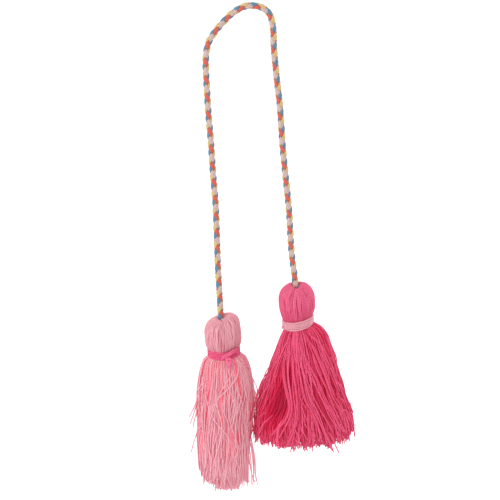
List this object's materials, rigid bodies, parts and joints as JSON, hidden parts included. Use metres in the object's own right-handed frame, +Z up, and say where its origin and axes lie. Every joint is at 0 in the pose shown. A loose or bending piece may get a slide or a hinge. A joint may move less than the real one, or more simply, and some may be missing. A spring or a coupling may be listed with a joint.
{
  "type": "braided cord with a yarn tassel at each end",
  "caption": "Multicoloured braided cord hung by its middle, with a slim pale pink and a full hot pink yarn tassel bound at the neck with thread.",
  "frame": {"origin": "the point of support, under the top of the cord's arch", "axes": "+Z up along the hanging cord, +X from the pale tassel to the hot pink one, seen from -Y"},
  "size_m": [0.0634, 0.0296, 0.2002],
  "materials": {
    "braid": "four-strand round braid of red-orange, pinkish white, blue and yellow cotton",
    "pale_yarn": "soft pale pink yarn, loosely twisted, slightly silky",
    "hot_yarn": "soft hot pink yarn, loosely twisted, slightly silky"
  },
  "bodies": {
    "root": {"braided_cord": "braid", "pale_tassel": "pale_yarn", "pale_tassel_binding": "hot_yarn", "hot_tassel": "hot_yarn", "hot_tassel_binding": "pale_yarn"}
  },
  "joints": []
}
